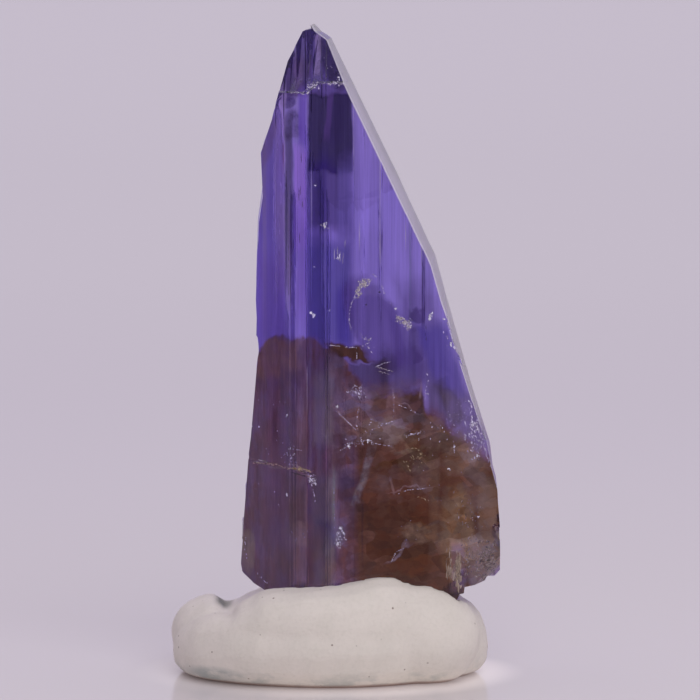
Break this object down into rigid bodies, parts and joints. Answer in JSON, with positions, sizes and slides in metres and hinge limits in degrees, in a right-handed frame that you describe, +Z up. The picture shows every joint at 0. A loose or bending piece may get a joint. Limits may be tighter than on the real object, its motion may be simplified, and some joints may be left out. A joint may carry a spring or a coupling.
{
  "type": "rough tanzanite crystal on a putty base",
  "caption": "Rough blue-violet tanzanite crystal, striated lengthwise, pointed at the top and brownish towards its broken foot, standing in a lump of off-white putty.",
  "frame": {"origin": "bottom centre of the whole, on the surface that the putty rests on", "axes": "+Z up along the crystal, -Y out of the broad striated front, +X towards the long slanted side"},
  "size_m": [0.0174, 0.0136, 0.0343],
  "materials": {
    "tanzanite": "clear blue-violet zoisite, brownish towards the foot, with glossy striated faces and etched patches",
    "putty": "soft off-white mounting putty, matte, smeared by fingers and a little dirty along the bottom"
  },
  "bodies": {
    "root": {"tanzanite_crystal": "tanzanite", "putty_base": "putty"}
  },
  "joints": []
}
